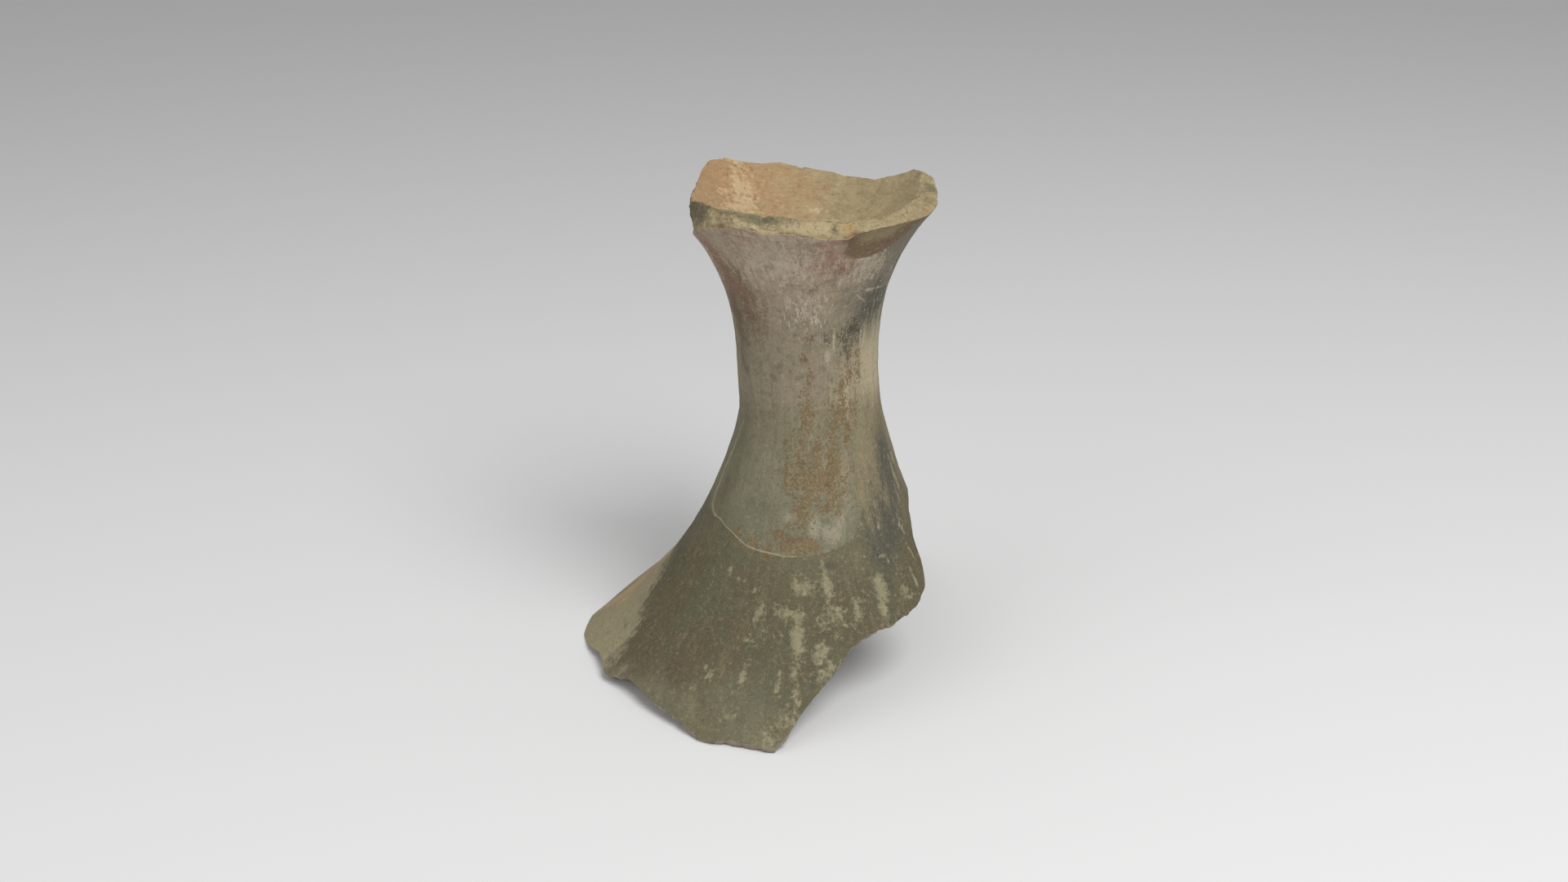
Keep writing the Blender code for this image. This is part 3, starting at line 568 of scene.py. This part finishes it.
def reliefTree():
    # Lifts and sinks every point of the skin along its normal, inside the solid's box
    tree = bpy.data.node_groups.new("clayRelief", "GeometryNodeTree")
    face = tree.interface
    face.new_socket("Geometry", in_out="INPUT", socket_type="NodeSocketGeometry")
    for name, value in relief.items():
        made = face.new_socket(name, in_out="INPUT", socket_type="NodeSocketFloat")
        made.default_value = value
    for name in ("Lowest corner", "Highest corner"):
        face.new_socket(name, in_out="INPUT", socket_type="NodeSocketVector")
    face.new_socket("Material", in_out="INPUT", socket_type="NodeSocketMaterial")
    face.new_socket("Geometry", in_out="OUTPUT", socket_type="NodeSocketGeometry")
    group = put(tree, "NodeGroupInput").outputs

    def read(name, kind="FLOAT"):
        made = put(tree, "GeometryNodeInputNamedAttribute", {"Name": name}, data_type=kind)
        return made.outputs["Attribute"]

    position = put(tree, "GeometryNodeInputPosition").outputs[0]
    normal = put(tree, "GeometryNodeInputNormal").outputs[0]
    flow = read("flow", "FLOAT_VECTOR")
    seed = group["Seed"]
    form = reliefForm
    zone = read("zone")

    def within(name):
        low, high = zoneSpan[name]
        above = maths(tree, "GREATER_THAN", zone, low)
        return maths(tree, "MULTIPLY", above, maths(tree, "LESS_THAN", zone, high))

    def times(*values):
        total = values[0]
        for value in values[1:]:
            total = maths(tree, "MULTIPLY", total, value)
        return total

    def about(value):
        return maths(tree, "SUBTRACT", value, noiseMiddle)

    def eased(value, edge):
        return ramp(tree, value, *form[edge])

    broken = maths(tree, "ADD", within("break"), within("sole"), clamp=True)
    hollow = within("hollow")
    outside = within("outside")
    unbroken = maths(tree, "SUBTRACT", 1.0, broken)

    # Torn, granular face of a break
    grain = maths(tree, "DIVIDE", 1.0, group["Break grain size"])
    coarse = grit(tree, position, grain, seed, 5.0, 0.62)
    finer = maths(tree, "MULTIPLY", grain, group["Crumb fineness"])
    crumb = grit(tree, position, finer, seed, 2.0, 0.6)
    torn = times(coarse, group["Break roughness"], broken)
    crumbs = times(crumb, group["Break crumb"], broken)

    # Hand-thrown unevenness everywhere
    uneven = times(grit(tree, position, group["Undulation scale"], seed, 2.0), group["Undulation"])

    # Lines of the wheel round the wall, broken up so that they come and go
    reach = form["wheelShare"] * clay["neckRadius"]
    pitch = maths(tree, "DIVIDE", reach, group["Wheel line pitch"])
    rings = vectorMaths(tree, "MULTIPLY", flow, form["wheelStretch"])
    turned = times(grit(tree, rings, pitch, seed, 2.0), group["Wheel line depth"], unbroken)

    # Strokes of the smoothing tool, down the stem and out along the foot
    strokes = vectorMaths(tree, "MULTIPLY", flow, form["strokeStretch"])
    strokes = grit(tree, strokes, group["Stroke scale"], seed, 3.0)
    smoothed = times(strokes, group["Stroke depth"], outside)

    # Grainy lumps where the foot is rough
    lumps = grit(tree, position, group["Lump scale"], seed, 3.0)
    lumps = times(lumps, group["Lump height"], eased(read("lumps"), "lumpEdge"), outside)

    # Small pits, where grains have fallen out
    spot = maths(tree, "DIVIDE", form["pitShare"], group["Pit size"])
    dots = noise(tree, position, spot, maths(tree, "ADD", seed, 4.0), 1.0, 0.4)
    pits = times(eased(dots, "pitEdge"), group["Pit depth"], -1.0)

    # Edge of the slip on the stem, and what has flaked off
    worn = about(noise(tree, position, group["Wear scale"], seed, 2.0))
    slip = maths(tree, "ADD", read("slip"), times(worn, form["slipWear"]))
    step = times(eased(slip, "slipEdge"), group["Slip thickness"])
    lost = maths(tree, "ADD", read("rust"), times(worn, form["lostWear"]))
    lost = times(eased(lost, "flakeEdge"), outside, group["Slip thickness"], -form["flakeShare"])
    left = maths(tree, "ADD", read("cream"), times(worn, form["leftWear"]))
    left = times(eased(left, "flakeEdge"), outside, group["Slip thickness"], form["flakeShare"])

    # Flake knocked off under the break at the right front, steep at its edge
    ragged = about(noise(tree, position, group["Spall edge scale"], seed, 4.0))
    chip = maths(tree, "ADD", read("spall"), ragged)
    brink = times(eased(chip, "brinkEdge"), form["brinkShare"])
    depth = maths(tree, "ADD", brink, times(eased(chip, "slopeEdge"), form["slopeShare"]))
    rough = about(noise(tree, position, group["Spall face scale"], seed, 5.0))
    rough = times(rough, eased(chip, "chipEdge"), form["chipRoughness"])
    flake = times(maths(tree, "SUBTRACT", rough, depth), group["Spall depth"], outside)

    # Finger ridges inside the foot and stem
    ridge = vectorMaths(tree, "MULTIPLY", flow, form["ridgeStretch"])
    ridge = about(noise(tree, ridge, group["Ridge scale"], seed, 1.0))
    ridges = times(ridge, group["Hollow ridge depth"], form["ridgeSwing"], hollow)

    total = torn
    for part in (crumbs, uneven, turned, smoothed, lumps, pits, times(step, outside), lost, left,
                 flake, ridges):
        total = maths(tree, "ADD", total, part)
    offset = put(tree, "ShaderNodeVectorMath", {0: normal, "Scale": total}, operation="SCALE")
    moved = vectorMaths(tree, "ADD", position, offset.outputs[0])
    lifted = vectorMaths(tree, "MAXIMUM", moved, group["Lowest corner"])
    kept = vectorMaths(tree, "MINIMUM", lifted, group["Highest corner"])
    shaped = put(tree, "GeometryNodeSetPosition", {"Geometry": group["Geometry"],
                 "Position": kept})
    real = put(tree, "GeometryNodeRealizeInstances", {"Geometry": shaped.outputs[0]})
    dressed = put(tree, "GeometryNodeSetMaterial", {"Geometry": real.outputs[0],
                  "Material": group["Material"]})
    put(tree, "NodeGroupOutput", {"Geometry": dressed.outputs[0]})
    return tree


# Colours of the finish, red, green and blue of 255
tones = {
    "stemTop": (156, 140, 121), "stemMiddle": (128, 118, 99), "stemLow": (113, 106, 84),
    "footTop": (90, 86, 65), "footMiddle": (78, 74, 54), "footLow": (99, 95, 74),
    "umber": (84, 73, 54), "sage": (82, 82, 63), "slip": (107, 106, 87),
    "slipEdge": (138, 135, 110), "rust": (100, 80, 52), "ash": (138, 131, 112),
    "pale": (168, 156, 137), "chalk": (184, 171, 153), "cloud": (66, 66, 59),
    "soot": (60, 59, 46), "red": (142, 104, 84), "russet": (96, 77, 61),
    "ashen": (106, 100, 87), "cream": (130, 124, 98), "amber": (166, 155, 127),
    "tan": (124, 113, 87), "wing": (139, 130, 101), "blush": (174, 144, 108),
    "spall": (106, 88, 67),
    "spallPale": (150, 132, 104), "spallRed": (116, 86, 64), "breakCream": (156, 141, 108),
    "breakTan": (136, 122, 91), "breakGrey": (88, 84, 65), "notch": (160, 130, 88),
    "orange": (146, 114, 80), "olive": (148, 133, 101), "flake": (182, 165, 130),
    "sole": (156, 146, 132), "hollow": (120, 110, 88), "dark": (56, 52, 39),
}


# Colours of the ground of the outside from the foot up, each with the heights in metres
# between which it comes in
grounds = [
    ("footMiddle", 0.004, 0.022), ("footTop", 0.038, 0.056), ("stemLow", 0.056, 0.072),
    ("stemMiddle", 0.088, 0.112), ("stemTop", 0.128, 0.158)]

# Textures: stretch along the wall, or none where it fills space, then scale, seed, detail and
# roughness. Each swings about one either side of zero.
textures = {
    "broad": (None, 45.0, 1.0, 3.0, 0.55), "blotch": (None, 170.0, 2.0, 6.0, 0.68),
    "fleck": (None, 620.0, 3.0, 4.0, 0.68), "grain": (None, 2300.0, 4.0, 2.0, 0.55),
    "streak": (0.12, 13.0, 5.0, 5.0, 0.65), "fibre": (0.25, 62.0, 6.0, 3.0, 0.6),
    "mottle": (0.55, 12.0, 7.0, 6.0, 0.74), "speck": (0.7, 40.0, 10.0, 4.0, 0.75),
    "brushed": (0.3, 22.0, 8.0, 5.0, 0.72), "wiped": (2.6, 12.0, 9.0, 5.0, 0.65),
}

# Textures made of two others, each with its share
blends = {
    "worn": ("mottle", 0.5, "speck", 0.6), "flaky": ("blotch", 0.45, "fleck", 0.55),
    "combed": ("fibre", 0.7, "streak", 0.5), "chalky": ("brushed", 0.7, "speck", 0.5),
    "flaked": ("blotch", 0.6, "fleck", 0.6), "smeared": ("worn", 0.7, "streak", 0.5),
    "feathered": ("streak", 3.5, "worn", 5.0), "nap": ("fibre", 0.5, "fleck", 0.8),
}

# Coats of colour, in order. A patch has its field, colour and texture, the texture's amount,
# softness, strength, and a bias where it isn't 0, which thins it below that. Dust lies where its
# texture is high, or low when the ends are turned round: texture, two ends, colour, strength.
coats = {
    "ground": [
        ("dust", "blotch", 0.0, 1.4, "umber", 0.50), ("dust", "blotch", 0.0, -1.4, "sage", 0.50)],
    "stainsAndHighlight": [
        ("patch", "sage", "sage", "flaky", 0.6, 0.9, 0.6),
        ("patch", "umber", "umber", "flaky", 0.7, 0.9, 0.6),
        ("patch", "ashen", "ashen", "worn", 0.6, 0.8, 0.85),
        ("patch", "russet", "russet", "worn", 0.9, 0.7, 0.8, -0.1),
        ("patch", "cloud", "cloud", "streak", 0.3, 0.6, 0.85, -0.2),
        ("patch", "smut", "soot", "worn", 1.1, 0.5, 0.85, -0.2),
        # Paler amber patches; the strongest, along the right edge of the stem, is a painted
        # highlight
        ("patch", "amber", "amber", "streak", 0.4, 0.9, 0.8, -0.1),
        ("patch", "tan", "tan", "combed", 1.0, 0.9, 0.75, -0.1),
        ("patch", "red", "red", "worn", 0.9, 0.6, 0.7, -0.1),
        ("patch", "chalk", "chalk", "chalky", 1.1, 0.55, 0.7, -0.15),
        ("patch", "pale", "ashes", "worn", 1.3, 0.36, 0.75, -0.15),
        ("patch", "rust", "rust", "worn", 1.9, 0.34, 0.85),
        ("patch", "rust", "tan", "speck", -1.3, 0.7, 0.4, -0.8),
        ("patch", "cream", "cream", "flaky", 0.9, 0.7, 0.85, -0.05)],
    "wing": [
        ("dust", "streak", 0.0, 1.4, "slipEdge", 0.6),
        ("patch", "blush", "blush", "streak", 0.9, 0.8, 0.8, -0.1),
        ("dust", "smeared", 0.0, 1.3, "umber", 0.35)],
    "outside": [
        ("dust", "speck", 0.1, 1.4, "dark", 0.22), ("dust", "speck", -0.4, -1.8, "flake", 0.09),
        ("dust", "fibre", 0.2, 1.6, "dark", 0.16), ("dust", "streak", 0.2, 1.8, "flake", 0.12),
        ("dust", "streak", -0.2, -1.8, "dark", 0.20)],
    "spall": [
        ("dust", "speck", 0.2, 1.2, "spallPale", 0.8),
        ("dust", "mottle", -0.1, -1.0, "spallRed", 0.7)],
    "dish": [
        ("dust", "blotch", -1.0, 1.2, "breakTan", 0.8),
        ("patch", "sage", "breakGrey", "blotch", 0.5, 0.9, 0.22),
        ("patch", "rust", "orange", "blotch", 0.45, 1.2, 0.95),
        ("dust", "wiped", 0.1, 1.5, "flake", 0.25), ("dust", "wiped", -0.2, -1.5, "umber", 0.25),
        ("patch", "pale", "flake", "flaked", 1.1, 0.6, 0.55, -0.35)],
    "break": [
        ("dust", "blotch", -0.8, 1.2, "breakCream", 0.7),
        ("patch", "cream", "breakCream", "worn", 0.5, 0.6, 0.85),
        ("patch", "cloud", "breakGrey", "worn", 0.7, 0.8, 0.85),
        ("patch", "amber", "notch", "worn", 0.5, 0.5, 0.75),
        ("patch", "rust", "spallRed", "worn", 0.5, 0.5, 0.6),
        ("dust", "fleck", -0.2, -1.4, "umber", 0.45), ("dust", "fleck", 0.4, 1.5, "flake", 0.30)],
    "sole": [("dust", "blotch", -0.8, 1.0, "hollow", 0.6)],
    "hollow": [("dust", "broad", -0.8, 1.0, "footTop", 1.0)],
    "everywhere": [
        ("dust", "fleck", 0.2, 1.8, "flake", 0.20), ("dust", "fleck", -0.2, -1.6, "dark", 0.33),
        ("dust", "grain", -0.2, -1.6, "dark", 0.25), ("dust", "grain", 0.2, 1.6, "flake", 0.14)],
}

# The rest of the finish. A pair is the two ends of a ramp: heights in metres, places across
# from -1 at the left to 1 at the right, or mm from a boundary.
finish = {
    "specular": 0.3, "roughness": 0.80, "roughnessSwing": 0.03, "groundSwing": 0.006,
    "mottledHeights": (0.085, 0.055), "mottledExtra": 0.3, "mottledLeast": 0.06,
    # Pale ash mottle: a least share everywhere, and an extra share across the sides that is
    # painted light on the right and painted shade on the left
    "paintedSideLightAcross": (-0.5, 0.3), "paintedSideLightExtra": 0.22, "ashLeast": 0.06,
    "slipEdge": (-0.2, 0.3), "slipHeights": (0.116, 0.070), "slipStrength": 0.7,
    "ashHeights": (0.100, 0.124), "lineEdge": (0.42, 0.1), "lineHeights": (0.102, 0.088),
    "lineWideAcross": (-0.85, -0.97), "lineWidening": 0.7, "lineWornAcross": (0.15, -0.45),
    "lineStrength": 0.8, "bandEdge": (-4.5, 4.5), "bandStrength": 0.9,
    "chipCrispEdge": (-0.12, 0.18), "chipVagueEdge": (-0.8, 1.6), "chipCrispAcross": (0.34, 0.52),
    "chipMiddle": (3.5, 7.5), "grainShare": 0.35, "tornBump": 3.0,
    "bumpStrength": 0.6, "bumpDistance": 0.00003,
}


def tone(name):
    # A colour of the list as the renderer's linear red, green, blue and full strength
    linear = [((c / 255 + 0.055) / 1.055) ** 2.4 for c in tones[name]]
    return (*linear, 1.0)


def clayFinish():
    # One material for the whole skin, which reads its zones, boundaries and patches
    material = bpy.data.materials.new("slippedClay")
    material.use_nodes = True
    tree = material.node_tree
    shader = tree.nodes["Principled BSDF"]
    shader.inputs["Specular IOR Level"].default_value = finish["specular"]
    made, mixes = {}, {}

    def read(name, output="Fac"):
        return put(tree, "ShaderNodeAttribute", attribute_name=name).outputs[output]

    def named(colour):
        # A colour goes by its name in either list, or is another node's socket
        if isinstance(colour, str):
            return mixes[colour] if colour in mixes else tone(colour)
        return colour

    def mixed(share, under, over):
        ends = {0: share, 6: named(under), 7: named(over)}
        return put(tree, "ShaderNodeMix", ends, data_type="RGBA").outputs[2]

    def add(a, b):
        return maths(tree, "ADD", a, b)

    def times(a, b):
        return maths(tree, "MULTIPLY", a, b)

    def across(value, pair):
        return ramp(tree, value, *finish[pair])

    def within(first, last):
        # 1 from the first zone to the last
        low, high = zoneOf[first] - 0.5, zoneOf[last] + 0.5
        return times(maths(tree, "GREATER_THAN", zone, low), maths(tree, "LESS_THAN", zone, high))

    def patch(base, field, colour, texture, amount, softness, strength, bias=0.0):
        value = add(add(read(field), bias), times(made[texture], amount))
        return mixed(times(ramp(tree, value, -softness, softness), strength), base, colour)

    def dust(base, texture, low, high, colour, strength):
        return mixed(times(ramp(tree, made[texture], low, high), strength), base, colour)

    def coated(base, part):
        for kind, *values in coats[part]:
            base = {"patch": patch, "dust": dust}[kind](base, *values)
        return base

    position = put(tree, "ShaderNodeTexCoord").outputs["Object"]
    flow = read("flow", "Vector")
    zone = read("zone")
    height = put(tree, "ShaderNodeSeparateXYZ", {0: position}).outputs[2]
    side = put(tree, "ShaderNodeSeparateXYZ", {0: flow}).outputs[0]
    for name, (along, *settings) in textures.items():
        spot = position
        if along is not None:
            spot = vectorMaths(tree, "MULTIPLY", flow, (1.0, 1.0, along))
        made[name] = grit(tree, spot, *settings)
    for name, (first, firstShare, second, secondShare) in blends.items():
        made[name] = add(times(made[first], firstShare), times(made[second], secondShare))

    # Ground of the outside
    level = add(height, times(made["broad"], finish["groundSwing"]))
    colour = "footLow"
    for name, low, high in grounds:
        colour = mixed(ramp(tree, level, low, high), colour, name)
    colour = coated(colour, "ground")
    mottled = times(across(height, "mottledHeights"), finish["mottledExtra"])
    mottled = add(mottled, finish["mottledLeast"])
    colour = dust(colour, "broad", 0.0, 1.2, "umber", mottled)
    colour = dust(colour, "broad", 0.0, -1.2, "sage", mottled)
    # Pale ash mottle, a little everywhere and more towards the right side: the extra is painted
    # light on the right, leaving the left side in painted shade
    ashAndPaintedSideLight = times(across(side, "paintedSideLightAcross"), finish["paintedSideLightExtra"])
    ashAndPaintedSideLight = add(ashAndPaintedSideLight, finish["ashLeast"])
    colour = dust(colour, "flaky", 0.1, 1.3, "ash", ashAndPaintedSideLight)

    # Slip on the stem, the stain and wear patches on it, and a painted highlight along its right
    # edge
    slipped = across(add(read("slip"), times(made["fleck"], 0.25)), "slipEdge")
    slipped = times(slipped, across(height, "slipHeights"))
    colour = mixed(times(slipped, finish["slipStrength"]), colour, "slip")
    mixes["ashes"] = mixed(across(height, "ashHeights"), "ash", "pale")
    colour = coated(colour, "stainsAndHighlight")

    # Thin pale line where the slip ends, wider at the far left and worn away at the right
    line = maths(tree, "ABSOLUTE", add(read("slip"), times(made["blotch"], 0.15)))
    wider = times(across(side, "lineWideAcross"), finish["lineWidening"])
    line = times(line, maths(tree, "SUBTRACT", 1.0, wider))
    line = times(across(line, "lineEdge"), across(height, "lineHeights"))
    line = times(line, across(add(side, times(made["mottle"], 0.12)), "lineWornAcross"))
    colour = mixed(times(line, finish["lineStrength"]), colour, "slipEdge")

    # Smooth band at the left tip of the foot
    band = across(add(read("wing"), made["feathered"]), "bandEdge")
    colour = mixed(times(band, finish["bandStrength"]), colour, coated("wing", "wing"))
    colour = coated(colour, "outside")

    # Flake knocked off under the break, one with it at the top
    crisp = across(add(read("spall"), times(made["fleck"], 0.12)), "chipCrispEdge")
    loose = add(read("spall"), times(made["worn"], 1.6))
    ends = {0: across(side, "chipCrispAcross"), 2: across(loose, "chipVagueEdge"), 3: crisp}
    chip = put(tree, "ShaderNodeMix", ends).outputs[0]
    bare = mixed(across(loose, "chipMiddle"), coated("spall", "spall"), "breakTan")
    colour = mixed(chip, colour, bare)

    # The other zones
    for name, base in (("dish", "olive"), ("break", "breakTan"), ("sole", "sole"),
                       ("hollow", "hollow")):
        colour = mixed(within(name, name), colour, coated(base, name))
    colour = coated(colour, "everywhere")
    tree.links.new(colour, shader.inputs["Base Color"])

    rough = add(times(made["blotch"], finish["roughnessSwing"]), finish["roughness"])
    tree.links.new(rough, shader.inputs["Roughness"])
    raised = add(made["nap"], times(made["grain"], finish["grainShare"]))
    raised = times(raised, add(times(within("break", "sole"), finish["tornBump"]), 1.0))
    bump = put(tree, "ShaderNodeBump", {"Height": raised, "Strength": finish["bumpStrength"],
                                        "Distance": finish["bumpDistance"]})
    tree.links.new(bump.outputs[0], shader.inputs["Normal"])
    return material


def setInputs(modifier, tree, values):
    # A modifier's input goes by the identifier of its socket
    for item in tree.interface.items_tree:
        if item.item_type == "SOCKET" and item.in_out == "INPUT" and item.name in values:
            modifier[item.identifier] = values[item.name]


def makeBowl():
    rough = bpy.data.objects.new("footedBowlRough", makeSkin())
    bpy.context.scene.collection.objects.link(rough)
    print("skin made")
    tree = reliefTree()
    modifier = rough.modifiers.new("relief", "NODES")
    modifier.node_group = tree
    low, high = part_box("footed_bowl")
    values = dict(relief)
    values.update({"Lowest corner": tuple(low), "Highest corner": tuple(high),
                   "Material": clayFinish()})
    setInputs(modifier, tree, values)
    graph = bpy.context.evaluated_depsgraph_get()
    mesh = bpy.data.meshes.new_from_object(rough.evaluated_get(graph))
    rough.modifiers.remove(modifier)
    bpy.data.objects.remove(rough, do_unlink=True)
    mesh.name = "footedBowl"
    bowl = bpy.data.objects.new("footedBowl", mesh)
    bpy.context.scene.collection.objects.link(bowl)
    print("relief made:", len(mesh.polygons), "faces")
    return bowl


bowl = makeBowl()
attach(bowl, "root")
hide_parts("footed_bowl")

# Floor, light and camera
studio = {
    "floorSize": 80.0, "floorDrop": 0.0002, "floorTone": 0.62, "floorRoughness": 0.9,
    "worldTone": 0.45,
    "keyPlace": (0.50, -0.80, 1.20), "keySize": 0.9, "keyPower": 21.0,
    "fillPlace": (-0.9, -0.7, 0.6), "fillSize": 1.2, "fillPower": 4.0,
    "lens": 41.25, "pitch": 22.5, "distance": 0.65161, "aimHeight": 0.08185, "aside": -0.008886,
    "axisPlace": (0.0205, -0.0050), "sensorWidth": 36.0, "clipStart": 0.01,
}


def makeFloor():
    half = studio["floorSize"] / 2
    mesh = bpy.data.meshes.new("floor")
    z = -studio["floorDrop"]
    mesh.from_pydata([(-half, -half, z), (half, -half, z), (half, half, z), (-half, half, z)],
                     [], [(0, 1, 2, 3)])
    material = bpy.data.materials.new("paleFloor")
    material.use_nodes = True
    shader = material.node_tree.nodes["Principled BSDF"]
    grey = studio["floorTone"]
    shader.inputs["Base Color"].default_value = (grey, grey, grey, 1.0)
    shader.inputs["Roughness"].default_value = studio["floorRoughness"]
    mesh.materials.append(material)
    floor = bpy.data.objects.new("floor", mesh)
    bpy.context.scene.collection.objects.link(floor)


def makeLight(name, spot, size, power):
    lamp = bpy.data.lights.new(name, "AREA")
    lamp.shape = "DISK"
    lamp.size = size
    lamp.energy = power
    made = bpy.data.objects.new(name, lamp)
    made.location = spot
    aim = -made.location
    aim.z += studio["aimHeight"]
    made.rotation_euler = aim.to_track_quat("-Z", "Y").to_euler()
    bpy.context.scene.collection.objects.link(made)


def makeWorld():
    world = bpy.data.worlds.new("softRoom")
    world.use_nodes = True
    grey = studio["worldTone"]
    world.node_tree.nodes["Background"].inputs[0].default_value = (grey, grey, grey, 1.0)
    bpy.context.scene.world = world


def makeCamera():
    lens = bpy.data.cameras.new("camera")
    lens.lens = studio["lens"]
    lens.sensor_width = studio["sensorWidth"]
    lens.clip_start = studio["clipStart"]
    camera = bpy.data.objects.new("camera", lens)
    tilt = math.radians(studio["pitch"])
    x, y = studio["axisPlace"]
    camera.location = (x + studio["aside"], y - studio["distance"] * math.cos(tilt),
                       studio["aimHeight"] + studio["distance"] * math.sin(tilt))
    camera.rotation_euler = (math.pi / 2 - tilt, 0, 0)
    bpy.context.scene.collection.objects.link(camera)
    bpy.context.scene.camera = camera


makeFloor()
makeLight("keyLight", studio["keyPlace"], studio["keySize"], studio["keyPower"])
makeLight("fillLight", studio["fillPlace"], studio["fillSize"], studio["fillPower"])
makeWorld()
makeCamera()
bpy.context.scene.view_settings.view_transform = "Standard"
print("studio made")
